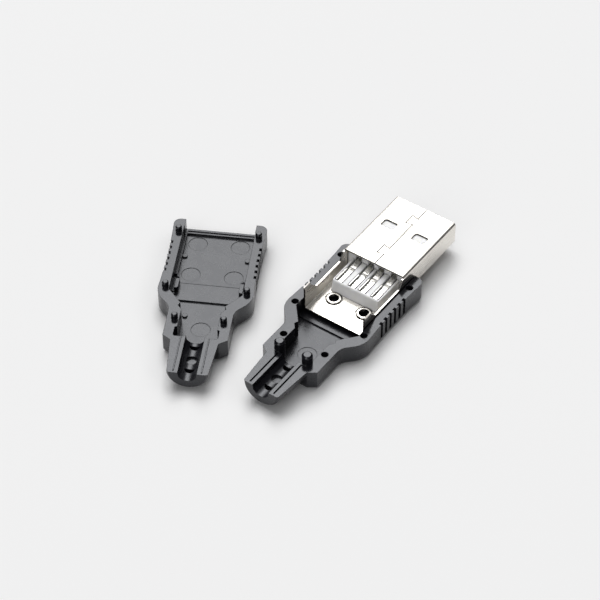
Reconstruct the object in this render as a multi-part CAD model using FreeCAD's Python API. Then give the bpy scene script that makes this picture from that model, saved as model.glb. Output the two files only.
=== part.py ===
import FreeCAD, Part
import math
import os

from FreeCAD import Placement, Rotation, Vector

# A cable plug for soldering by hand. A metal shell, a plastic core and four contacts
# seat in the lower half of the housing. The upper half lies beside it, inside up.
# Lengths are millimetres. X runs toward the mating end, Y to the left and Z up.
# The origin is on the floor, under the line of the two front locating holes.

# Metal shell: the mating sleeve and the open tray behind it, one folded sheet
SLEEVE_WIDTH = 12.0
SLEEVE_HEIGHT = 4.5
SLEEVE_REACH = 12.5
SHEET = 0.3
SHEET_BEND_R = 0.5
SLEEVE_REAR_SETBACK = 3.3
TRAY_LENGTH = 11.7
TRAY_WALL_ABOVE_SPLIT = 0.4
TRAY_WALL_FRONT_GAP = 1.4
TRAY_WALL_SLOPE = 0.5
REAR_EAR_LENGTH = 1.7
REAR_EAR_SLOPE = 1.6
REAR_EAR_TOP_GAP = 0.3
REAR_EAR_LIP_R = 0.42
WINDOW_LENGTH = 1.8
WINDOW_WIDTH = 2.6
WINDOW_CORNER_R = 0.45
WINDOW_FROM_MOUTH = 6.65
WINDOW_SPACING = 6.1
SEAM_GAP = 0.14
SEAM_OFFSET = -0.2
SEAM_TAB_DEPTH = 1.15
SEAM_TAB_NECK = 1.5
SEAM_TAB_FLARE = 0.28
SEAM_TAB_FROM_MOUTH = (3.6, 12.3)
EYELET_BORE = 1.8
EYELET_RIM_WIDTH = 0.36
EYELET_RIM_HEIGHT = 0.2
EYELET_RIM_CHAMFER = 0.1
EYELET_GROOVE_WIDTH = 0.24
EYELET_GROOVE_DEPTH = 0.2
EYELET_SPACING = 6.0
EYELET_FROM_TRAY_END = 4.4

# Housing outline, shared by both halves
HALF_HEIGHT = 4.0
GRIP_SIDE_WALL = 2.0
GRIP_LENGTH = 16.5
GRIP_WAIST = 0.27
EAR_CORNER_R = 1.2
SHOULDER_TURN = 45.0
SHOULDER_OUTER_R = 4.0
SHOULDER_INNER_R = 2.5
NECK_WIDTH = 10.7
NECK_LENGTH = 5.5
NECK_BEVEL_LENGTH = 0.95
TAIL_LENGTH = 7.1
TAIL_RISE = 0.05
TAIL_TAPER = 0.62
TAIL_END_CHAMFER = 0.25
LOWER_EDGE_R = 0.85

# Vertical finger grooves in both sides of the grip
GROOVE_COUNT = 6
GROOVE_PITCH = 1.33
GROOVE_WIDTH = 0.62
GROOVE_DEPTH = 0.42
GROOVE_FROM_FRONT = 5.8
GROOVE_FLOOR = 0.9

# Inside of each half
EAR_DEPTH = 1.7
MOUTH_CLEARANCE = 0.06
POCKET_CLEARANCE = 0.14
SILL_DEPTH = 0.42
SILL_STEP = 0.18
SILL_STEP_DEPTH = 0.45
LEDGE_WIDTH = 0.25
PAD_WIDTH = 0.9
PAD_LENGTH = 2.2
PAD_TAPER_LENGTH = 1.8
PAD_CORNER_R = 0.4
PAD_END_BEFORE_TRAY_END = 0.3
WELL_FLOOR = 1.15
WELL_REAR_STEP = 0.05
WELL_REAR_STEP_FROM_FRONT = 12.5
WELL_REAR_OVERRUN = 1.9
BAY_FLOOR = 0.8
BAY_STEP_FROM_FRONT = 16.4
BAY_WIDTH = 6.6
BAY_SLANT_LENGTH = 2.9
BAY_SLANT_END_MARGIN = 0.4
BAY_NOTCH_LENGTH = 0.65
BAY_NOTCH_DEPTH = 0.3
BAY_NOTCH_SLANT_LENGTH = 0.85
BAY_END_FROM_NECK_END = 0.25
BAY_END_CORNER_R = 1.3
EJECTOR_DIAMETER = 3.2
EJECTOR_DEPTH = 0.08
EJECTOR_SPACING = 7.3
EJECTOR_FROM_FRONT = (2.85, 10.3)
EJECTOR_FROM_NECK_END = 4.85

# Cable channel in the tail, with two half-round pits that grip the cable and a round mould mark
CHANNEL_HALF_WIDTH = 1.56
CHANNEL_DEPTH = 1.7
CHANNEL_WALL_HEIGHT = 0.95
CHANNEL_WALL_LEAN = 0.14
CHANNEL_FLOOR_HALF_WIDTH = 0.85
CHANNEL_FLOOR_SAG = 0.18
CABLE_PIT_R = 0.85
CABLE_PIT_DEPTH = 0.9
CABLE_PIT_FROM_BAY_END = (0.7, 5.75)
CHANNEL_MARK_DIAMETER = 1.8
CHANNEL_MARK_DEPTH = 0.4
CHANNEL_MARK_FROM_BAY_END = 3.8

# Lengthwise tongues on the upper half's banks and their grooves in the lower half's
BANK_WIDTH = 0.62
BANK_GROOVE_WIDTH = 0.25
BANK_GROOVE_DEPTH = 0.35
BANK_GROOVE_STOP = 0.4
TONGUE_CLEARANCE = 0.03
BANK_TONGUE_HEIGHT = 0.15

# Locating pegs of the upper half and their holes in the lower half
PEG_DIAMETER = 1.12
PEG_HEIGHT = 1.05
PEG_TIP_CHAMFER = 0.2
PEG_CLEARANCE = 0.05
PEG_HOLE_EXTRA_DEPTH = 0.25
PEG_FRONT_SETBACK = 2.9
PEG_FRONT_EDGE_MARGIN = 1.15
PEG_MIDDLE_FROM_FRONT = 16.3
PEG_MIDDLE_EDGE_MARGIN = 1.2
PEG_REAR_FROM_NECK_END = 3.95
PEG_REAR_EDGE_MARGIN = 1.3

# Round posts of the lower half and their slots in the upper half
POST_DIAMETER = 1.8
POST_HEIGHT = 1.8
POST_SPACING = 5.4
POST_FROM_NECK_END = 1.0
POST_TIP_CHAMFER = 0.3
POST_SLOT_CLEARANCE = 0.1
POST_SLOT_LENGTH = 1.1
POST_SLOT_CORNER_R = 0.35

# Guides that stand inside the metal shell's rear ears, and slots for the ears, in the upper half
EAR_GUIDE_HEIGHT = 0.45
EAR_SLOT_DEPTH = 0.5
EAR_SLOT_FRONT_STOP = 0.3

# Short nubs on the upper half's floor
NUB_DIAMETER = 0.9
NUB_HEIGHT = 0.3
NUB_FRONT_FROM_FRONT = 6.15
NUB_FRONT_SPACING = 10.7
NUB_REAR_FROM_FRONT = 19.75
NUB_REAR_SIDE = 3.1

# Plastic core
CORE_SIDE_CLEARANCE = 0.05
TONGUE_SETBACK = 0.5
TONGUE_THICKNESS = 1.85
CORE_BLOCK_LENGTH = 5.0
CORE_REAR_OVERHANG = 0.7
PLATFORM_LENGTH = 6.65
PLATFORM_SIDE_SETBACK = 1.4
PLATFORM_ABOVE_SPLIT = 0.2
PLATFORM_SLOPE = 0.5
PLATFORM_EDGE_R = 0.3
CORE_SLOT_WIDTH = 1.25
CORE_SLOT_HEIGHT = 1.2
CORE_SLOT_DEPTH = 3.0
TROUGH_WIDTH = 1.6
TROUGH_END_CLEARANCE = 0.15

# Contacts
CONTACT_INNER_SPACING = 2.0
CONTACT_OUTER_FROM_SIDE = 2.5
CONTACT_WIDTH = 1.0
CONTACT_THICKNESS = 0.25
CONTACT_CLEARANCE = 0.02
CONTACT_TIP_SETBACK_OUTER = 1.3
CONTACT_TIP_SETBACK_INNER = 2.3
CUP_LENGTH = 5.7
CUP_NECK_LENGTH = 2.0
CUP_TAPER_LENGTH = 0.9
CUP_WALL = 0.15
CUP_RISE = 0.45
CUP_DROP = 0.3
RAMP_LENGTH = 1.6
RAMP_END_SETBACK = 0.05
CUP_WIDTH = 1.35
CUP_PINCH = 0.25

# The upper half as it lies beside the lower one
COVER_SHIFT_X = -7.81
COVER_SHIFT_Y = 26.58
COVER_TURN = 27.7

# Stations along the plug
FRONT_X = PEG_FRONT_SETBACK
SHOULDER_X = FRONT_X - GRIP_LENGTH
GRIP_HALF = SLEEVE_WIDTH / 2 + GRIP_SIDE_WALL
NECK_HALF = NECK_WIDTH / 2
SHOULDER_DROP = GRIP_HALF - NECK_HALF
SHOULDER_RADII = SHOULDER_OUTER_R + SHOULDER_INNER_R
TURN = min(math.radians(SHOULDER_TURN), math.acos(1 - SHOULDER_DROP / SHOULDER_RADII))
SHOULDER_STRAIGHT_DROP = SHOULDER_DROP - SHOULDER_RADII * (1 - math.cos(TURN))
SHOULDER_STRAIGHT_RUN = SHOULDER_STRAIGHT_DROP / math.tan(TURN)
NECK_X = SHOULDER_X - SHOULDER_RADII * math.sin(TURN) - SHOULDER_STRAIGHT_RUN
NECK_END_X = NECK_X - NECK_LENGTH
TAIL_X = NECK_END_X - NECK_BEVEL_LENGTH
TAIL_END_X = TAIL_X - TAIL_LENGTH
TAIL_FRONT_R = HALF_HEIGHT - TAIL_RISE
TAIL_END_R = TAIL_FRONT_R - TAIL_TAPER
SPLIT_Z = HALF_HEIGHT
SEAT_Z = SPLIT_Z - SLEEVE_HEIGHT / 2
SLEEVE_HALF = SLEEVE_WIDTH / 2
SLEEVE_TOP_Z = SEAT_Z + SLEEVE_HEIGHT
MOUTH_X = FRONT_X + SLEEVE_REACH
SLEEVE_REAR_X = FRONT_X - SLEEVE_REAR_SETBACK
TRAY_END_X = SLEEVE_REAR_X - TRAY_LENGTH
TRAY_FLOOR_Z = SEAT_Z + SHEET
PAD_END_X = TRAY_END_X + PAD_END_BEFORE_TRAY_END
PAD_X = PAD_END_X + PAD_LENGTH
PAD_HALF = SLEEVE_HALF - PAD_WIDTH
LEDGE_HALF = SLEEVE_HALF - LEDGE_WIDTH
WELL_SLANT_X = TRAY_END_X - WELL_REAR_OVERRUN
BAY_STEP_X = FRONT_X - BAY_STEP_FROM_FRONT
BAY_END_X = NECK_END_X + BAY_END_FROM_NECK_END
POCKET_HALF = SLEEVE_HALF + POCKET_CLEARANCE
CHANNEL_FLOOR_Z = SPLIT_Z - CHANNEL_DEPTH
BANK_GROOVE_Y = CHANNEL_HALF_WIDTH + BANK_WIDTH
POST_X = NECK_END_X + POST_FROM_NECK_END
ABOVE = 10.0
BESIDE = 20.0


def line(a, b):
    return Part.LineSegment(Vector(*a), Vector(*b)).toShape()


def arc(a, middle, b):
    return Part.Arc(Vector(*a), Vector(*middle), Vector(*b)).toShape()


def block(x0, x1, y0, y1, z0, z1):
    return Part.makeBox(x1 - x0, y1 - y0, z1 - z0, Vector(x0, y0, z0))


def rod(x, y, z, radius, height):
    return Part.makeCylinder(radius, height, Vector(x, y, z))


def mirrored(shape):
    return shape.mirror(Vector(0, 0, 0), Vector(0, 1, 0))


def both_sides(shape):
    return [shape, mirrored(shape)]


def joined(shapes):
    return shapes[0].fuse(shapes[1:]).removeSplitter()


def prism(points, direction):
    """Straight-edged closed outline swept along a direction."""
    corners = [Vector(*p) for p in points]
    return Part.Face(Part.makePolygon(corners + corners[:1])).extrude(direction)


def side_profile(points, half_width):
    """Outline in X and Z swept across the plug's width."""
    return prism([(x, -half_width, z) for x, z in points], Vector(0, 2 * half_width, 0))


def waist_arc():
    """Chord middle, centre and radius of the shallow waist in the grip's side."""
    x0, x1 = FRONT_X - EAR_CORNER_R, SHOULDER_X
    chord = x0 - x1
    radius = (chord ** 2 / 4 + GRIP_WAIST ** 2) / (2 * GRIP_WAIST)
    return (x0 + x1) / 2, GRIP_HALF - GRIP_WAIST + radius, radius


def grip_side_y(x):
    middle_x, centre_y, radius = waist_arc()
    return centre_y - math.sqrt(radius ** 2 - (x - middle_x) ** 2)


def outline_left():
    """Left side of the plan, from the front face back to the tail."""
    ear_x, ear_y = FRONT_X - EAR_CORNER_R, GRIP_HALF - EAR_CORNER_R
    half = math.sqrt(0.5)
    waist_x = waist_arc()[0]
    edges = [arc((FRONT_X, ear_y, 0), (ear_x + EAR_CORNER_R * half, ear_y + EAR_CORNER_R * half, 0),
                 (ear_x, GRIP_HALF, 0))]
    edges.append(arc((ear_x, GRIP_HALF, 0), (waist_x, GRIP_HALF - GRIP_WAIST, 0), (SHOULDER_X, GRIP_HALF, 0)))

    def outer(angle):
        return (SHOULDER_X - SHOULDER_OUTER_R * math.sin(angle),
                GRIP_HALF - SHOULDER_OUTER_R * (1 - math.cos(angle)), 0)

    def inner(angle):
        return (NECK_X + SHOULDER_INNER_R * math.sin(angle),
                NECK_HALF + SHOULDER_INNER_R * (1 - math.cos(angle)), 0)

    edges.append(arc(outer(0), outer(TURN / 2), outer(TURN)))
    if SHOULDER_STRAIGHT_RUN > 1e-6:
        edges.append(line(outer(TURN), inner(TURN)))
    edges.append(arc(inner(TURN), inner(TURN / 2), inner(0)))
    edges.append(line((NECK_X, NECK_HALF, 0), (NECK_END_X, NECK_HALF, 0)))
    edges.append(line((NECK_END_X, NECK_HALF, 0), (TAIL_X, TAIL_FRONT_R, 0)))
    return edges


def half_body():
    """Solid outside of one half: grip, shoulders and neck, with the half cone of the tail."""
    left = outline_left()
    ear_y = GRIP_HALF - EAR_CORNER_R
    closers = [line((FRONT_X, ear_y, 0), (FRONT_X, -ear_y, 0)),
               line((TAIL_X, TAIL_FRONT_R, 0), (TAIL_X, -TAIL_FRONT_R, 0))]
    edges = left + [mirrored(edge) for edge in left] + closers
    wire = Part.Wire(Part.__sortEdges__(edges))
    body = Part.Face(wire).extrude(Vector(0, 0, HALF_HEIGHT))
    lower_edges = [e for e in body.Edges if max(v.Z for v in e.Vertexes) < LOWER_EDGE_R / 2]
    body = body.makeFillet(LOWER_EDGE_R, lower_edges)
    return joined([body, half_tail()])


def half_tail():
    cone = Part.makeCone(TAIL_FRONT_R, TAIL_END_R, TAIL_LENGTH, Vector(TAIL_X, 0, SPLIT_Z), Vector(-1, 0, 0))
    end_edges = [e for e in cone.Edges if max(v.X for v in e.Vertexes) < TAIL_X - TAIL_LENGTH / 2]
    cone = cone.makeChamfer(TAIL_END_CHAMFER, end_edges)
    lower = block(TAIL_END_X - 1, TAIL_X + 1, -BESIDE, BESIDE, -1, SPLIT_Z)
    return cone.common(lower)


def finger_grooves():
    cuts = []
    for k in range(GROOVE_COUNT):
        x = FRONT_X - GROOVE_FROM_FRONT - k * GROOVE_PITCH
        y = grip_side_y(x) - GROOVE_DEPTH
        cuts += both_sides(block(x - GROOVE_WIDTH / 2, x + GROOVE_WIDTH / 2, y, BESIDE,
                                 GROOVE_FLOOR, SPLIT_Z + 1))
    return cuts


def shell_pocket():
    """Room for the metal shell above its seat, narrower between the front ears."""
    mouth = SLEEVE_HALF + MOUTH_CLEARANCE
    ear_x = FRONT_X - EAR_DEPTH
    return [block(ear_x - 1, FRONT_X + 1, -mouth, mouth, SEAT_Z, ABOVE),
            block(TRAY_END_X, ear_x, -POCKET_HALF, POCKET_HALF, SEAT_Z, ABOVE)]


def pit(left, floor):
    """Straight-walled pit down to a floor, from the left side of its plan."""
    right = [(x, -y) for x, y in reversed(left)]
    return prism([(x, y, floor) for x, y in left + right], Vector(0, 0, ABOVE))


def upright_at(shape, x, y):
    """Upright edges of a shape at a place and at its mirror image."""
    return [e for e in shape.Edges if upright(e) and abs(e.Vertexes[0].X - x) < 0.01
            and abs(abs(e.Vertexes[0].Y) - y) < 0.01]


def well():
    """Deep middle of the grip: stepped front sill, ledges that end in pads, slanted rear corners."""
    step_x = FRONT_X - SILL_DEPTH
    plan = [(step_x - SILL_STEP_DEPTH, LEDGE_HALF), (PAD_X + PAD_TAPER_LENGTH, LEDGE_HALF), (PAD_X, PAD_HALF),
            (PAD_END_X, PAD_HALF), (PAD_END_X, POCKET_HALF)] + bay_slant()
    cut = pit(plan, WELL_FLOOR)
    cut = cut.makeFillet(PAD_CORNER_R, upright_at(cut, PAD_END_X, PAD_HALF))
    rear = block(TAIL_END_X, FRONT_X - WELL_REAR_STEP_FROM_FRONT, -BESIDE, BESIDE, 0, ABOVE)
    lowered = cut.translated(Vector(0, 0, -WELL_REAR_STEP)).common(rear)
    sill = block(step_x - SILL_STEP_DEPTH - 1, step_x, -LEDGE_HALF, LEDGE_HALF, SEAT_Z - SILL_STEP, ABOVE)
    return [cut, lowered, sill]


def bay_slant():
    """Left wall where the wide well narrows to the wire bay."""
    return [(WELL_SLANT_X, POCKET_HALF),
            (WELL_SLANT_X - BAY_SLANT_LENGTH, BAY_WIDTH / 2 + BAY_SLANT_END_MARGIN)]


def bay():
    """Narrow wire bay of the neck, a little deeper than the well, with round rear corners."""
    half = BAY_WIDTH / 2
    end_x, end_y = bay_slant()[-1]
    notch_x = end_x - BAY_NOTCH_LENGTH
    plan = [(BAY_STEP_X, POCKET_HALF)] + bay_slant()
    plan += [(notch_x, end_y + BAY_NOTCH_DEPTH), (notch_x - BAY_NOTCH_SLANT_LENGTH, half), (BAY_END_X, half)]
    cut = pit(plan, BAY_FLOOR)
    return [cut.makeFillet(BAY_END_CORNER_R, upright_at(cut, BAY_END_X, half))]


def upright(edge):
    a, b = edge.Vertexes[0].Point, edge.Vertexes[-1].Point
    return abs(a.x - b.x) < 1e-6 and abs(a.y - b.y) < 1e-6


def channel():
    """Cable channel with leaning walls and a shallow round floor, its gripping pits and its mark."""
    x0, x1 = TAIL_END_X - 1, BAY_END_X + 1
    corner_z = CHANNEL_FLOOR_Z + CHANNEL_FLOOR_SAG
    left = [(x0, CHANNEL_FLOOR_HALF_WIDTH, corner_z),
            (x0, CHANNEL_HALF_WIDTH - CHANNEL_WALL_LEAN, SPLIT_Z - CHANNEL_WALL_HEIGHT),
            (x0, CHANNEL_HALF_WIDTH, SPLIT_Z)]
    right = [(x, -y, z) for x, y, z in left]
    edges = [line(a, b) for side in (left, right) for a, b in zip(side, side[1:])]
    edges.append(arc(left[0], (x0, 0, CHANNEL_FLOOR_Z), right[0]))
    edges.append(line(left[-1], right[-1]))
    wire = Part.Wire(Part.__sortEdges__(edges))
    cuts = [Part.Face(wire).extrude(Vector(x1 - x0, 0, 0))]
    cuts += [cable_pit(BAY_END_X - setback) for setback in CABLE_PIT_FROM_BAY_END]
    cuts.append(rod(BAY_END_X - CHANNEL_MARK_FROM_BAY_END, 0, CHANNEL_FLOOR_Z - CHANNEL_MARK_DEPTH,
                    CHANNEL_MARK_DIAMETER / 2, ABOVE))
    return cuts


def cable_pit(x):
    """Half-round pit with its straight wall toward the bay."""
    disc = rod(x, 0, CHANNEL_FLOOR_Z - CABLE_PIT_DEPTH, CABLE_PIT_R, ABOVE)
    return disc.common(block(x - BESIDE, x, -BESIDE, BESIDE, 0, 2 * ABOVE))


def bank_strips(inset, z0, z1):
    """Strips along both banks of the channel, narrower than the groove by an inset on each side."""
    y0 = BANK_GROOVE_Y + inset
    y1 = BANK_GROOVE_Y + BANK_GROOVE_WIDTH - inset
    return both_sides(block(TAIL_END_X + BANK_GROOVE_STOP + inset, NECK_END_X - inset, y0, y1, z0, z1))


def ejector_marks():
    """Round marks that the mould's pins leave on the floors."""
    y = EJECTOR_SPACING / 2
    spots = [(FRONT_X - setback, side, WELL_FLOOR) for setback in EJECTOR_FROM_FRONT for side in (y, -y)]
    spots.append((NECK_END_X + EJECTOR_FROM_NECK_END, 0, BAY_FLOOR))
    return [rod(x, y, z - EJECTOR_DEPTH, EJECTOR_DIAMETER / 2, ABOVE) for x, y, z in spots]


def half_shell():
    """What the two halves have in common."""
    cuts = finger_grooves() + shell_pocket() + well() + bay() + channel() + ejector_marks()
    return half_body().cut(cuts)


def peg_places():
    """Centres of the locating pegs, as pairs mirrored about the middle."""
    front = (FRONT_X - PEG_FRONT_SETBACK, GRIP_HALF - PEG_FRONT_EDGE_MARGIN)
    middle = (FRONT_X - PEG_MIDDLE_FROM_FRONT, GRIP_HALF - PEG_MIDDLE_EDGE_MARGIN)
    rear = (NECK_END_X + PEG_REAR_FROM_NECK_END, NECK_HALF - PEG_REAR_EDGE_MARGIN)
    return [(x, side * y) for x, y in (front, middle, rear) for side in (1, -1)]


def base_shell():
    """Lower half: holes for the pegs and two round posts beside the cable's way in."""
    depth = PEG_HEIGHT + PEG_HOLE_EXTRA_DEPTH
    radius = PEG_DIAMETER / 2 + PEG_CLEARANCE
    holes = [rod(x, y, SPLIT_Z - depth, radius, depth + 1) for x, y in peg_places()]
    foot_z = BAY_FLOOR / 2
    post = rod(POST_X, POST_SPACING / 2, foot_z, POST_DIAMETER / 2, SPLIT_Z + POST_HEIGHT - foot_z)
    tip = [e for e in post.Edges if min(v.Z for v in e.Vertexes) > SPLIT_Z]
    post = post.makeChamfer(POST_TIP_CHAMFER, tip)
    grooves = bank_strips(0, SPLIT_Z - BANK_GROOVE_DEPTH, SPLIT_Z + 1)
    return joined([half_shell().cut(holes + grooves)] + both_sides(post))


def peg(x, y):
    pin = rod(x, y, SPLIT_Z - 1, PEG_DIAMETER / 2, PEG_HEIGHT + 1)
    return pin.makeChamfer(PEG_TIP_CHAMFER, [e for e in pin.Edges if min(v.Z for v in e.Vertexes) > SPLIT_Z])


def ear_guide():
    """Wedge on the pad that stands inside one rear ear, full height at its rear end."""
    low, high = SEAT_Z - EAR_SLOT_DEPTH, SEAT_Z + EAR_GUIDE_HEIGHT
    profile = [(PAD_END_X, low), (PAD_END_X, high), (PAD_X, high), (PAD_X + PAD_TAPER_LENGTH, low)]
    wedge = side_profile(profile, LEDGE_HALF)
    plan = [(PAD_END_X, LEDGE_HALF, 0), (PAD_END_X, PAD_HALF, 0), (PAD_X, PAD_HALF, 0),
            (PAD_X + PAD_TAPER_LENGTH, LEDGE_HALF, 0)]
    guide = wedge.common(prism(plan, Vector(0, 0, ABOVE)))
    return guide.makeFillet(PAD_CORNER_R, upright_at(guide, PAD_END_X, PAD_HALF))


def ear_slot():
    """Slot beside the guide that takes the rolled top of one ear."""
    front = PAD_X + PAD_TAPER_LENGTH - EAR_SLOT_FRONT_STOP
    return block(PAD_END_X, front, LEDGE_HALF, POCKET_HALF, SEAT_Z - EAR_SLOT_DEPTH, ABOVE)


def nubs():
    """Short nubs on the floor: a pair in the well and one at the left of the bay."""
    front_x = FRONT_X - NUB_FRONT_FROM_FRONT
    places = [(front_x, NUB_FRONT_SPACING / 2, WELL_FLOOR), (front_x, -NUB_FRONT_SPACING / 2, WELL_FLOOR),
              (FRONT_X - NUB_REAR_FROM_FRONT, NUB_REAR_SIDE, BAY_FLOOR)]
    return [rod(x, y, floor / 2, NUB_DIAMETER / 2, floor / 2 + NUB_HEIGHT) for x, y, floor in places]


def cover_shell():
    """Upper half: pegs, slots and tongues that match the lower half once it is turned over."""
    radius = POST_DIAMETER / 2 + POST_SLOT_CLEARANCE
    y = POST_SPACING / 2
    slot = block(POST_X - radius, POST_X + POST_SLOT_LENGTH, y - radius, y + radius,
                 SPLIT_Z - POST_HEIGHT - POST_SLOT_CLEARANCE, SPLIT_Z + 1)
    slot = slot.makeFillet(POST_SLOT_CORNER_R, [e for e in slot.Edges if upright(e)])
    tongues = bank_strips(TONGUE_CLEARANCE, SPLIT_Z - BANK_GROOVE_DEPTH, SPLIT_Z + BANK_TONGUE_HEIGHT)
    body = half_shell().cut(both_sides(slot) + both_sides(ear_slot()))
    shell = joined([body] + [peg(x, y) for x, y in peg_places()] + tongues + both_sides(ear_guide()) + nubs())
    turn = Rotation(Vector(0, 0, 1), COVER_TURN)
    shell.Placement = Placement(Vector(COVER_SHIFT_X, COVER_SHIFT_Y, 0), turn)
    return shell


def sheet_tube(x0, x1):
    """Closed sleeve of bent sheet between two stations."""
    outer = block(x0, x1, -SLEEVE_HALF, SLEEVE_HALF, SEAT_Z, SLEEVE_TOP_Z)
    outer = outer.makeFillet(SHEET_BEND_R, [e for e in outer.Edges if along_x(e)])
    half = SLEEVE_HALF - SHEET
    inner = block(x0 - 1, x1 + 1, -half, half, TRAY_FLOOR_Z, SLEEVE_TOP_Z - SHEET)
    inner = inner.makeFillet(SHEET_BEND_R - SHEET, [e for e in inner.Edges if along_x(e)])
    return outer.cut(inner)


def along_x(edge):
    a, b = edge.Vertexes[0].Point, edge.Vertexes[-1].Point
    return abs(a.y - b.y) < 1e-6 and abs(a.z - b.z) < 1e-6


def tray():
    """Open trough behind the sleeve: floor, low side walls and two taller ears at its end."""
    ear_top = SLEEVE_TOP_Z - REAR_EAR_TOP_GAP
    wall_top = SPLIT_Z + TRAY_WALL_ABOVE_SPLIT
    outer = block(TRAY_END_X, SLEEVE_REAR_X, -SLEEVE_HALF, SLEEVE_HALF, SEAT_Z, SLEEVE_TOP_Z)
    lower = [e for e in outer.Edges if along_x(e) and e.Vertexes[0].Z < SPLIT_Z]
    outer = outer.makeFillet(SHEET_BEND_R, lower)
    half = SLEEVE_HALF - SHEET
    inner = block(TRAY_END_X - 1, SLEEVE_REAR_X + 1, -half, half, TRAY_FLOOR_Z, ABOVE)
    lower = [e for e in inner.Edges if along_x(e) and e.Vertexes[0].Z < SPLIT_Z]
    inner = inner.makeFillet(SHEET_BEND_R - SHEET, lower)
    ear_x = TRAY_END_X + REAR_EAR_LENGTH
    front_x = SLEEVE_REAR_X - TRAY_WALL_FRONT_GAP
    above_walls = side_profile([(TRAY_END_X - 1, ear_top), (ear_x, ear_top),
                                (ear_x + REAR_EAR_SLOPE, wall_top), (front_x, wall_top),
                                (SLEEVE_REAR_X - TRAY_WALL_SLOPE, ear_top), (SLEEVE_REAR_X, ear_top),
                                (SLEEVE_REAR_X, ABOVE), (TRAY_END_X - 1, ABOVE)], SLEEVE_WIDTH)
    return [outer.cut([inner, above_walls])] + both_sides(ear_lip(ear_top))


def ear_lip(z):
    """Outward roll along the top of one rear ear."""
    radius = REAR_EAR_LIP_R
    centre = Vector(TRAY_END_X, SLEEVE_HALF - SHEET + radius, z)
    ring = Part.makeCylinder(radius, REAR_EAR_LENGTH, centre, Vector(1, 0, 0))
    ring = ring.cut(Part.makeCylinder(radius - SHEET, REAR_EAR_LENGTH, centre, Vector(1, 0, 0)))
    quarter = block(TRAY_END_X - 1, TRAY_END_X + REAR_EAR_LENGTH + 1, 0, centre.y, z, ABOVE)
    return ring.common(quarter)


def windows():
    """Latch windows through the top and bottom of the sleeve."""
    x = MOUTH_X - WINDOW_FROM_MOUTH
    y = WINDOW_SPACING / 2
    cut = block(x - WINDOW_LENGTH / 2, x + WINDOW_LENGTH / 2, y - WINDOW_WIDTH / 2, y + WINDOW_WIDTH / 2,
                SEAT_Z - 1, SLEEVE_TOP_Z + 1)
    return both_sides(cut.makeFillet(WINDOW_CORNER_R, [e for e in cut.Edges if upright(e)]))


def seam_tab(x, grow):
    """Dovetail of the seam, its outline pushed out by a margin."""
    neck = SEAM_TAB_NECK / 2 + grow
    flare = neck + SEAM_TAB_FLARE
    y0, y1 = SEAM_OFFSET - SEAM_GAP, SEAM_OFFSET + SEAM_TAB_DEPTH + grow
    z = SLEEVE_TOP_Z - 2 * SHEET
    return prism([(x - neck, y0, z), (x + neck, y0, z), (x + flare, y1, z), (x - flare, y1, z)],
                 Vector(0, 0, 4 * SHEET))


def seam():
    """Fine gap where the sheet's edges meet, led round its dovetails."""
    strip = block(SLEEVE_REAR_X - 1, MOUTH_X + 1, SEAM_OFFSET - SEAM_GAP / 2, SEAM_OFFSET + SEAM_GAP / 2,
                  SLEEVE_TOP_Z - 2 * SHEET, SLEEVE_TOP_Z + 1)
    stations = [MOUTH_X - distance for distance in SEAM_TAB_FROM_MOUTH]
    strip = strip.fuse([seam_tab(x, SEAM_GAP) for x in stations])
    return [strip.cut([seam_tab(x, 0) for x in stations])]


def eyelets():
    """Drawn collars round the two holes in the tray's floor, with what is cut for each."""
    x, y = TRAY_END_X + EYELET_FROM_TRAY_END, EYELET_SPACING / 2
    rim_r = EYELET_BORE / 2 + EYELET_RIM_WIDTH
    rim = rod(x, y, SEAT_Z + SHEET / 2, rim_r, SHEET / 2 + EYELET_RIM_HEIGHT)
    top = [e for e in rim.Edges if min(v.Z for v in e.Vertexes) > TRAY_FLOOR_Z]
    rim = rim.makeChamfer(EYELET_RIM_CHAMFER, top)
    bore = rod(x, y, SEAT_Z - 1, EYELET_BORE / 2, ABOVE)
    groove = rod(x, y, TRAY_FLOOR_Z - EYELET_GROOVE_DEPTH, rim_r + EYELET_GROOVE_WIDTH, SHEET)
    groove = groove.cut(rod(x, y, 0, rim_r, ABOVE))
    return both_sides(rim), both_sides(bore) + both_sides(groove)


def metal_shell():
    rims, cuts = eyelets()
    sheet = joined([sheet_tube(SLEEVE_REAR_X, MOUTH_X)] + tray() + rims)
    return sheet.cut(windows() + seam() + cuts)


def contact_places():
    """Across-plug place of each contact with the setback of its tip behind the mouth."""
    outer, inner = SLEEVE_HALF - CONTACT_OUTER_FROM_SIDE, CONTACT_INNER_SPACING / 2
    return {"contact_vbus": (-outer, CONTACT_TIP_SETBACK_OUTER),
            "contact_data_minus": (-inner, CONTACT_TIP_SETBACK_INNER),
            "contact_data_plus": (inner, CONTACT_TIP_SETBACK_INNER),
            "contact_ground": (outer, CONTACT_TIP_SETBACK_OUTER)}


def tongue_z():
    return SLEEVE_TOP_Z - SHEET - TONGUE_THICKNESS


def core_rear_x():
    return SLEEVE_REAR_X + CORE_REAR_OVERHANG


def blade_z():
    return tongue_z() - CONTACT_THICKNESS


def cup_z():
    return blade_z() - CUP_DROP


def contact(y, tip_setback):
    """Blade under the tongue, a ramp down behind the block and a pinched solder cup in its trough."""
    cup_x = core_rear_x() - CUP_LENGTH
    ramp_x = core_rear_x() - RAMP_END_SETBACK
    foot_x = ramp_x - RAMP_LENGTH
    bottom = [(cup_x, cup_z()), (foot_x, cup_z()), (ramp_x, blade_z()), (MOUTH_X - tip_setback, blade_z())]
    top = [(x, z + CONTACT_THICKNESS) for x, z in reversed(bottom)]
    strip = side_profile(bottom + top, CONTACT_WIDTH / 2).translated(Vector(0, y, 0))
    return joined([strip, solder_cup(cup_x, y)])


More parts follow.
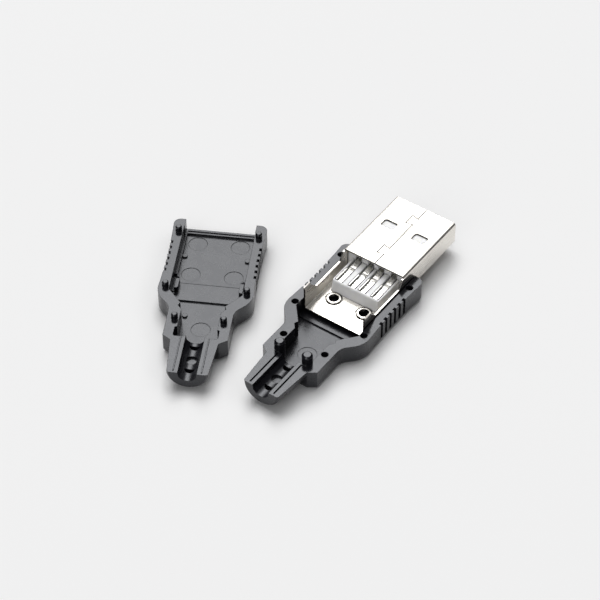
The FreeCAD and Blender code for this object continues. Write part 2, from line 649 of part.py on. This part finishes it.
def solder_cup(cup_x, y):
    half = CUP_WIDTH / 2
    front = core_rear_x() - CUP_NECK_LENGTH
    pinch = front - CUP_TAPER_LENGTH
    left = [(cup_x, half), (pinch, half), (front, half - CUP_PINCH)]
    plan = left + [(x, -v) for x, v in reversed(left)]
    cup = prism([(x, y + v, cup_z()) for x, v in plan], Vector(0, 0, CONTACT_THICKNESS + CUP_RISE))
    inside = half - CUP_WALL
    return cup.cut(block(cup_x - 1, front + 1, y - inside, y + inside, cup_z() + CONTACT_THICKNESS, ABOVE))


def core_bar(x0, x1, z0):
    """Bar that reaches up to the sleeve's roof, with edges that clear the sheet's bends."""
    half = SLEEVE_HALF - SHEET - CORE_SIDE_CLEARANCE
    bar = block(x0, x1, -half, half, z0, SLEEVE_TOP_Z - SHEET)
    bends = [e for e in bar.Edges if along_x(e) and (e.Vertexes[0].Z > z0 or z0 == TRAY_FLOOR_Z)]
    return bar.makeFillet(SHEET_BEND_R - SHEET + CORE_SIDE_CLEARANCE, bends)


def insulator():
    """Tongue under the sleeve's top, block that fills the sleeve's rear, and platform behind it."""
    rear = core_rear_x()
    tongue = core_bar(rear, MOUTH_X - TONGUE_SETBACK, tongue_z())
    back = core_bar(rear, rear + CORE_BLOCK_LENGTH, TRAY_FLOOR_Z)
    top = SPLIT_Z + PLATFORM_ABOVE_SPLIT
    end = rear - PLATFORM_LENGTH
    profile = [(rear, TRAY_FLOOR_Z), (rear, top), (end + PLATFORM_SLOPE, top), (end, TRAY_FLOOR_Z)]
    platform = side_profile(profile, SLEEVE_HALF - PLATFORM_SIDE_SETBACK)
    platform = platform.makeFillet(PLATFORM_EDGE_R, rear_edges(platform, end + PLATFORM_SLOPE, top))
    core = joined([tongue, back, platform])
    return core.cut(contact_slots())


def rear_edges(shape, x, z):
    """Edges that reach a level and lie wholly behind a station."""
    return [e for e in shape.Edges if abs(e.BoundBox.ZMax - z) < 0.01 and e.BoundBox.XMax < x + 0.01]


def contact_slots():
    """Ways for the contacts through the block, and troughs for their cups on the platform."""
    cuts = []
    z = blade_z()
    rear = core_rear_x()
    for y, setback in contact_places().values():
        half = CONTACT_WIDTH / 2 + CONTACT_CLEARANCE
        cuts.append(block(rear - 1, rear + CORE_BLOCK_LENGTH + 1, y - half, y + half,
                          z, z + CONTACT_THICKNESS))
        wide = TROUGH_WIDTH / 2
        cuts.append(block(rear - CUP_LENGTH - TROUGH_END_CLEARANCE, rear, y - wide, y + wide, cup_z(), ABOVE))
        wide = CORE_SLOT_WIDTH / 2
        cuts.append(block(rear - 1, rear + CORE_SLOT_DEPTH, y - wide, y + wide, z, z + CORE_SLOT_HEIGHT))
    return cuts


def build():
    parts = {"base_shell": base_shell(), "cover_shell": cover_shell(), "metal_shell": metal_shell(),
             "insulator": insulator()}
    for name, (y, setback) in contact_places().items():
        parts[name] = contact(y, setback)
    return parts


os.makedirs("parts", exist_ok=True)
for name, shape in build().items():
    print(name, "solids", len(shape.Solids), "valid", shape.isValid(), "volume", round(shape.Volume, 2))
    shape.exportStep("parts/" + name + ".step")
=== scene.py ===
import math

import bpy
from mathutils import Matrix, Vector


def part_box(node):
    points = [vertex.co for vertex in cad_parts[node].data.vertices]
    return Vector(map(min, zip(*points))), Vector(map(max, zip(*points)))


# An open cable plug on a pale table: one housing half with the metal shell, its core and
# its contacts, and the other half beside it. Lengths are metres in the model's own frame,
# and angles are degrees.

MM = 0.001
HOUSING_NODES = ("base_shell", "cover_shell")
CONTACT_NODES = ("contact_vbus", "contact_data_minus", "contact_data_plus", "contact_ground")

# Height of the face where the two housing halves part
SPLIT_HEIGHT = 4.0 * MM

# Camera: a long lens that looks down from behind the cable end
LOOK_AT = Vector((-9.505, 8.568, 0.0)) * MM
LOOK_HEADING = 35.23
LOOK_DOWN = 45.3
CAMERA_DISTANCE = 368.88 * MM
LENS = 132.77
SENSOR_WIDTH = 36.0
NEAREST_SEEN = 10 * MM
FARTHEST_SEEN = 10.0

# Table, with slightly darker patches
TABLE_COLOUR = (0.88, 0.88, 0.88)
TABLE_PATCH_SHADE = 0.985
TABLE_HALF_SIZE = 1.2
TABLE_BELOW_PART = 0.002 * MM

# Backdrop white in the table for the camera and for reflections. It takes this share of the
# table's look where the sky above is open, and less where the plug stands close.
TABLE_GLOW = 0.55
TABLE_GLOW_LEVEL = 0.93
CONTACT_SHADOW_REACH = 6 * MM
GLOW_STARTS_AT_OPENNESS = 0.75
GLOW_WHOLE_AT_OPENNESS = 0.98

# Sky, dark at the horizon. It brightens between two heights, given as the sine of the angle.
SKY_COLOUR = (0.98, 0.985, 1.0, 1.0)
SKY_AT_HORIZON = (0.04, 0.04, 0.042, 1.0)
SKY_DARK_BELOW = 0.6
SKY_FULL_ABOVE = 0.85
SKY_STRENGTH = 0.35

LAMP_DISTANCE = 2.4

# Spans that hold most values of a noise texture: the wider one for measures, the other for colours
NOISE_SPAN = (0.3, 0.7)
NOISE_COLOUR_SPAN = (0.32, 0.68)

# Openness of a spot from which a gap's painted shade is at its darkest, and from which it has none
CREASE_DARKEST = 0.25
CREASE_CLEAR = 0.85

# How far below a height a change of roughness begins and ends
STEP_BEGINS_BELOW = 0.3 * MM
STEP_ENDS_BELOW = 0.05 * MM

# Cut ends of the sheet: how squarely a face looks along the plug, and its colour
CUT_EDGE_FROM = 0.8
CUT_EDGE_WHOLE = 0.95
CUT_EDGE_COLOUR = (0.16, 0.155, 0.145, 1.0)

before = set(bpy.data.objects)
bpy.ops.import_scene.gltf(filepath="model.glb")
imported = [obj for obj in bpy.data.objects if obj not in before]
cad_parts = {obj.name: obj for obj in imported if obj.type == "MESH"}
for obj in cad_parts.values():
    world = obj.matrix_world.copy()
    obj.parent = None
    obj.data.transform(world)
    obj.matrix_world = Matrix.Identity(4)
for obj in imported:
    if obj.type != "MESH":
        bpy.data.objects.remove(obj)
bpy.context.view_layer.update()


def new_material(name):
    material = bpy.data.materials.new(name)
    material.use_nodes = True
    return material, material.node_tree.nodes["Principled BSDF"]


def add_node(owner, kind, **settings):
    """New node in the tree of a material or of the world."""
    node = owner.node_tree.nodes.new(kind)
    for key, value in settings.items():
        setattr(node, key, value)
    return node


def link(owner, start, end):
    owner.node_tree.links.new(start, end)


def split_vector(owner, vector):
    """Separate X, Y and Z of a vector."""
    node = add_node(owner, "ShaderNodeSeparateXYZ")
    link(owner, vector, node.inputs["Vector"])
    return node.outputs


def joined(owner, operation, first, second):
    """Two values joined by an operation."""
    node = add_node(owner, "ShaderNodeMath", operation=operation)
    link(owner, first, node.inputs[0])
    link(owner, second, node.inputs[1])
    return node.outputs["Value"]


def mapped(owner, value, start, end, low=0.0, high=1.0, curve="LINEAR"):
    """Value led from one span to another, and held at its ends."""
    node = add_node(owner, "ShaderNodeMapRange", interpolation_type=curve)
    node.inputs["From Min"].default_value = start
    node.inputs["From Max"].default_value = end
    node.inputs["To Min"].default_value = low
    node.inputs["To Max"].default_value = high
    link(owner, value, node.inputs["Value"])
    return node.outputs["Result"]


def openness(owner, reach, samples):
    """Share of the directions over a spot that meet nothing within a reach."""
    node = add_node(owner, "ShaderNodeAmbientOcclusion", samples=samples)
    node.inputs["Distance"].default_value = reach
    return node.outputs["AO"]


def noise(material, scale, detail, roughness=0.55, stretch=(1, 1, 1)):
    """Noise in the model's own coordinates, its scale in features per metre."""
    coordinates = add_node(material, "ShaderNodeTexCoord")
    mapping = add_node(material, "ShaderNodeMapping")
    mapping.inputs["Scale"].default_value = stretch
    link(material, coordinates.outputs["Object"], mapping.inputs["Vector"])
    texture = add_node(material, "ShaderNodeTexNoise")
    texture.inputs["Scale"].default_value = scale
    texture.inputs["Detail"].default_value = detail
    texture.inputs["Roughness"].default_value = roughness
    link(material, mapping.outputs["Vector"], texture.inputs["Vector"])
    return texture.outputs["Fac"]


def ranged(material, texture, low, high):
    """Measure that varies with a noise texture."""
    return mapped(material, texture, *NOISE_SPAN, low, high)


def shades(material, texture, dark, light):
    """Colour that varies with a noise texture."""
    node = add_node(material, "ShaderNodeValToRGB")
    stops = zip(node.color_ramp.elements, NOISE_COLOUR_SPAN, (dark, light))
    for stop, position, colour in stops:
        stop.position = position
        stop.color = (*colour, 1)
    link(material, texture, node.inputs["Fac"])
    return node.outputs["Color"]


def relief(material, shader, heights, edge_radius):
    """Surface relief from (texture, depth) pairs, over edges softened by a small radius."""
    bevel = add_node(material, "ShaderNodeBevel", samples=6)
    bevel.inputs["Radius"].default_value = edge_radius
    normal = bevel.outputs["Normal"]
    for texture, depth in heights:
        bump = add_node(material, "ShaderNodeBump")
        bump.inputs["Strength"].default_value = 1.0
        bump.inputs["Distance"].default_value = depth
        link(material, texture, bump.inputs["Height"])
        link(material, normal, bump.inputs["Normal"])
        normal = bump.outputs["Normal"]
    link(material, normal, shader.inputs["Normal"])


def with_painted_crease_shade(material, colour, reach, darkness):
    """Colour with painted shade that darkens it in narrow gaps and inner corners, by how open each spot
    is.
    """
    shade = mapped(material, openness(material, reach, samples=8), CREASE_DARKEST, CREASE_CLEAR,
                   low=1 - darkness)
    mix = add_node(material, "ShaderNodeMix", data_type="RGBA", blend_type="MULTIPLY")
    mix.inputs["Factor"].default_value = 1.0
    link(material, colour, mix.inputs["A"])
    link(material, shade, mix.inputs["B"])
    return mix.outputs["Result"]


def stepped_roughness(material, unevenness, height, below, above):
    """Roughness of one value below a height and another from there up, with a texture's unevenness."""
    coordinates = add_node(material, "ShaderNodeTexCoord")
    z = split_vector(material, coordinates.outputs["Object"])["Z"]
    level = mapped(material, z, height - STEP_BEGINS_BELOW, height - STEP_ENDS_BELOW, below, above)
    return joined(material, "ADD", level, unevenness)


def housing_plastic():
    """Black moulding with its mould's spark grain, smoother on the parting face than on the floors."""
    material, shader = new_material("housing_plastic")
    cloud = noise(material, scale=420, detail=2)
    grain = noise(material, scale=9000, detail=2, roughness=0.6)
    black = shades(material, cloud, dark=(0.007, 0.007, 0.009), light=(0.010, 0.010, 0.013))
    unevenness = ranged(material, cloud, low=0.0, high=0.05)
    roughness = stepped_roughness(material, unevenness, SPLIT_HEIGHT, below=0.25, above=0.12)
    link(material, black, shader.inputs["Base Color"])
    link(material, roughness, shader.inputs["Roughness"])
    shader.inputs["IOR"].default_value = 1.54
    shader.inputs["Specular Tint"].default_value = (0.94, 0.96, 1.0, 1.0)
    relief(material, shader, [(grain, 0.004 * MM), (cloud, 0.01 * MM)], edge_radius=0.09 * MM)
    return material


def cut_edges(material, colour):
    """Dark grey on the sheet's cut ends, the faces that look along the plug."""
    geometry = add_node(material, "ShaderNodeNewGeometry")
    along = add_node(material, "ShaderNodeMath", operation="ABSOLUTE")
    link(material, split_vector(material, geometry.outputs["True Normal"])["X"], along.inputs[0])
    share = mapped(material, along.outputs["Value"], CUT_EDGE_FROM, CUT_EDGE_WHOLE)
    mix = add_node(material, "ShaderNodeMix", data_type="RGBA")
    link(material, share, mix.inputs["Factor"])
    link(material, colour, mix.inputs["A"])
    mix.inputs["B"].default_value = CUT_EDGE_COLOUR
    return mix.outputs["Result"]


def plated_steel():
    """Nickel plate over rolled sheet: bright, with faint rolling lines, and duller on the sleeve's top."""
    material, shader = new_material("plated_steel")
    rolled = noise(material, scale=2600, detail=4, stretch=(0.06, 1, 1))
    cloud = noise(material, scale=300, detail=2)
    plate = shades(material, cloud, dark=(0.76, 0.73, 0.68), light=(0.82, 0.79, 0.74))
    # The plate colour takes painted shade in gaps and inner corners.
    plate = with_painted_crease_shade(material, cut_edges(material, plate), reach=0.4 * MM, darkness=0.95)
    sleeve_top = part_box("metal_shell")[1][2]
    unevenness = ranged(material, rolled, low=0.0, high=0.07)
    roughness = stepped_roughness(material, unevenness, sleeve_top, below=0.25, above=0.52)
    link(material, plate, shader.inputs["Base Color"])
    link(material, roughness, shader.inputs["Roughness"])
    shader.inputs["Metallic"].default_value = 1.0
    relief(material, shader, [(rolled, 0.0015 * MM)], edge_radius=0.06 * MM)
    return material


def core_plastic():
    """Milky white moulding that lets a little light in."""
    material, shader = new_material("core_plastic")
    cloud = noise(material, scale=500, detail=2)
    grain = noise(material, scale=8000, detail=2)
    milk = shades(material, cloud, dark=(0.91, 0.91, 0.895), light=(0.96, 0.96, 0.95))
    # The milky colour takes painted shade in gaps and inner corners, round the contacts.
    link(material, with_painted_crease_shade(material, milk, reach=0.4 * MM, darkness=0.9), shader.inputs["Base Color"])
    link(material, ranged(material, cloud, low=0.30, high=0.38), shader.inputs["Roughness"])
    shader.inputs["Subsurface Weight"].default_value = 0.6
    shader.inputs["Subsurface Radius"].default_value = (1.0, 1.0, 0.9)
    shader.inputs["Subsurface Scale"].default_value = 1.0 * MM
    relief(material, shader, [(grain, 0.002 * MM)], edge_radius=0.12 * MM)
    return material


def contact_metal():
    """Tin plate with soft uneven patches, as it comes before soldering."""
    material, shader = new_material("contact_metal")
    cloud = noise(material, scale=1800, detail=3)
    tin = shades(material, cloud, dark=(0.80, 0.79, 0.75), light=(0.88, 0.87, 0.84))
    # The tin colour takes painted shade in gaps and inner corners.
    link(material, with_painted_crease_shade(material, tin, reach=0.4 * MM, darkness=0.95), shader.inputs["Base Color"])
    link(material, ranged(material, cloud, low=0.2, high=0.34), shader.inputs["Roughness"])
    shader.inputs["Metallic"].default_value = 1.0
    relief(material, shader, [(cloud, 0.05 * MM)], edge_radius=0.07 * MM)
    return material


def add_table_glow(material, shader):
    """White backdrop for the camera and for reflections, fading out where the plug shades the table."""
    path = add_node(material, "ShaderNodeLightPath")
    seen = joined(material, "MAXIMUM", path.outputs["Is Camera Ray"], path.outputs["Is Glossy Ray"])
    glow = mapped(material, openness(material, CONTACT_SHADOW_REACH, samples=16), GLOW_STARTS_AT_OPENNESS,
                  GLOW_WHOLE_AT_OPENNESS, high=TABLE_GLOW, curve="SMOOTHSTEP")
    white = add_node(material, "ShaderNodeEmission")
    white.inputs["Strength"].default_value = TABLE_GLOW_LEVEL
    mix = add_node(material, "ShaderNodeMixShader")
    link(material, joined(material, "MULTIPLY", seen, glow), mix.inputs[0])
    link(material, shader.outputs["BSDF"], mix.inputs[1])
    link(material, white.outputs["Emission"], mix.inputs[2])
    output = material.node_tree.nodes["Material Output"]
    link(material, mix.outputs["Shader"], output.inputs["Surface"])


def table_top():
    """Matt pale table that is nearly even."""
    material, shader = new_material("table_top")
    cloud = noise(material, scale=6, detail=2)
    patch = tuple(level * TABLE_PATCH_SHADE for level in TABLE_COLOUR)
    link(material, shades(material, cloud, dark=patch, light=TABLE_COLOUR), shader.inputs["Base Color"])
    shader.inputs["Roughness"].default_value = 0.75
    shader.inputs["Specular IOR Level"].default_value = 0.2
    add_table_glow(material, shader)
    return material


def dress(names, material):
    for name in names:
        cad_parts[name].material_slots[0].material = material


def add_table():
    mesh = bpy.data.meshes.new("table")
    s, z = TABLE_HALF_SIZE, -TABLE_BELOW_PART
    mesh.from_pydata([(-s, -s, z), (s, -s, z), (s, s, z), (-s, s, z)], [], [(0, 1, 2, 3)])
    mesh.materials.append(table_top())
    table = bpy.data.objects.new("table", mesh)
    bpy.context.scene.collection.objects.link(table)


def add_sky():
    world = bpy.data.worlds.new("studio")
    world.use_nodes = True
    coordinates = add_node(world, "ShaderNodeTexCoord")
    ramp = add_node(world, "ShaderNodeValToRGB")
    dark, full = ramp.color_ramp.elements
    dark.position, dark.color = SKY_DARK_BELOW, SKY_AT_HORIZON
    full.position, full.color = SKY_FULL_ABOVE, SKY_COLOUR
    link(world, split_vector(world, coordinates.outputs["Generated"])["Z"], ramp.inputs["Fac"])
    background = world.node_tree.nodes["Background"]
    background.inputs["Strength"].default_value = SKY_STRENGTH
    link(world, ramp.outputs["Color"], background.inputs["Color"])
    bpy.context.scene.world = world


def direction(heading, height):
    """Unit vector at a heading and a height above the horizon."""
    a, e = math.radians(heading), math.radians(height)
    return Vector((math.cos(a) * math.cos(e), math.sin(a) * math.cos(e), math.sin(e)))


def add_softbox(name, heading, height, side, power):
    """Square lamp at a heading and a height, aimed at the plug."""
    toward = direction(heading, height)
    data = bpy.data.lights.new(name, "AREA")
    data.shape = "SQUARE"
    data.size = side
    data.energy = power
    lamp = bpy.data.objects.new(name, data)
    lamp.location = LOOK_AT + toward * LAMP_DISTANCE
    lamp.rotation_euler = toward.to_track_quat("Z", "Y").to_euler()
    bpy.context.scene.collection.objects.link(lamp)


def add_camera():
    look = direction(LOOK_HEADING, -LOOK_DOWN)
    data = bpy.data.cameras.new("camera")
    data.lens = LENS
    data.sensor_width = SENSOR_WIDTH
    data.clip_start = NEAREST_SEEN
    data.clip_end = FARTHEST_SEEN
    camera = bpy.data.objects.new("camera", data)
    camera.location = LOOK_AT - look * CAMERA_DISTANCE
    camera.rotation_euler = look.to_track_quat("-Z", "Y").to_euler()
    bpy.context.scene.collection.objects.link(camera)
    bpy.context.scene.camera = camera


add_camera()
add_table()
add_sky()
add_softbox("key", heading=36, height=46, side=1.05, power=14.5)
add_softbox("overhead", heading=45, height=70, side=1.8, power=34.5)
add_softbox("fill", heading=190, height=28, side=1.6, power=14.5)
dress(HOUSING_NODES, housing_plastic())
dress(["metal_shell"], plated_steel())
dress(["insulator"], core_plastic())
dress(CONTACT_NODES, contact_metal())
bpy.context.scene.view_settings.view_transform = "Standard"
